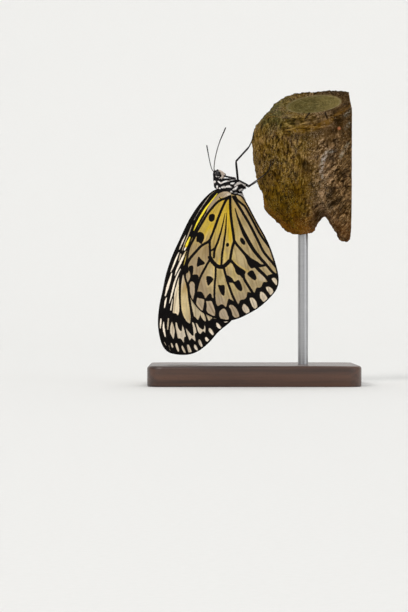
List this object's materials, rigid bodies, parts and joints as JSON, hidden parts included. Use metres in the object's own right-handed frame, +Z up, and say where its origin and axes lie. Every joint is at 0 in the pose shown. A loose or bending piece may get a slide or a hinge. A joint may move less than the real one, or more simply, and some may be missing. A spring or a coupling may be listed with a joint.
{
  "type": "paper kite butterfly specimen",
  "caption": "Paper kite butterfly with closed black-and-cream wings, hanging by its legs from a cut branch stub on a flat display stand.",
  "frame": {"origin": "middle of the stand's underside, on the surface it stands on", "axes": "+Z up; +X to the right of the picture, from the animal's back to its breast; +Y away from the viewer, to the animal's left"},
  "size_m": [0.082, 0.06, 0.1162],
  "materials": {
    "wing": "matte scales, cream and yellow with black veins and spots",
    "body_scales": "black scales with white bands and short hair",
    "abdomen_scales": "cream scales with a dark line along the back",
    "eye": "glossy, faceted",
    "horn": "satin black horn",
    "bark": "rough bark with a weathered saw cut",
    "base_wood": "dark, satin varnish",
    "steel": "brushed"
  },
  "bodies": {
    "root": {"abdomen": "abdomen_scales", "antenna_left": "horn", "antenna_right": "horn", "eye_left": "eye", "eye_right": "eye", "fore_leg_left": "horn", "fore_leg_right": "horn", "forewing_left": "wing", "forewing_right": "wing", "head": "body_scales", "hind_leg_left": "horn", "hind_leg_right": "horn", "hindwing_left": "wing", "hindwing_right": "wing", "mid_leg_left": "horn", "mid_leg_right": "horn", "palp_left": "body_scales", "palp_right": "body_scales", "perch_branch": "bark", "proboscis": "horn", "stand_base": "base_wood", "stand_rod": "steel", "thorax": "body_scales"}
  },
  "joints": []
}
